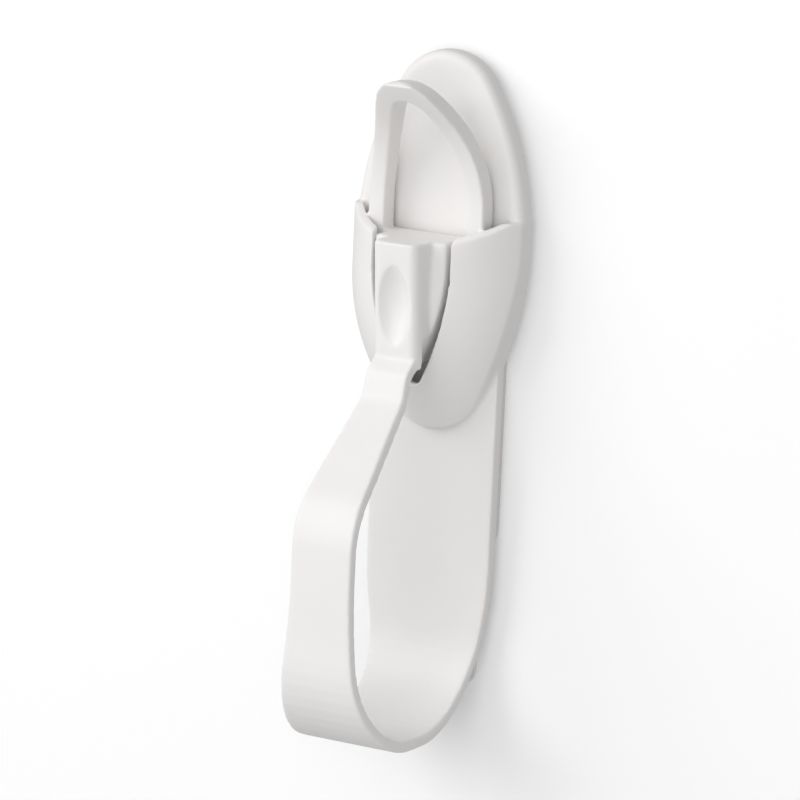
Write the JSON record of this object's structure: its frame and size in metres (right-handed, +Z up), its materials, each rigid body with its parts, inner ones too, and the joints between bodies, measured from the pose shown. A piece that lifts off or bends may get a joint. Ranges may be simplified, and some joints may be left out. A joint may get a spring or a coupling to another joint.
{
  "type": "adhesive cable clip",
  "caption": "Soft moulded wall clip whose strap wraps a bundle of cable and hooks its head into a slotted pocket, with a pull ring and an adhesive strip behind.",
  "frame": {"origin": "centre of the foam strip's adhesive face, on the wall", "axes": "+Y into the wall, -Y to the front, +Z up the wall, X across the clip's plane of symmetry"},
  "size_m": [0.0208, 0.0253, 0.0745],
  "materials": {
    "clip_body": "satin, softly moulded",
    "adhesive_strip": "matt foam"
  },
  "bodies": {
    "root": {"clip_body": "clip_body", "adhesive_strip": "adhesive_strip"}
  },
  "joints": []
}
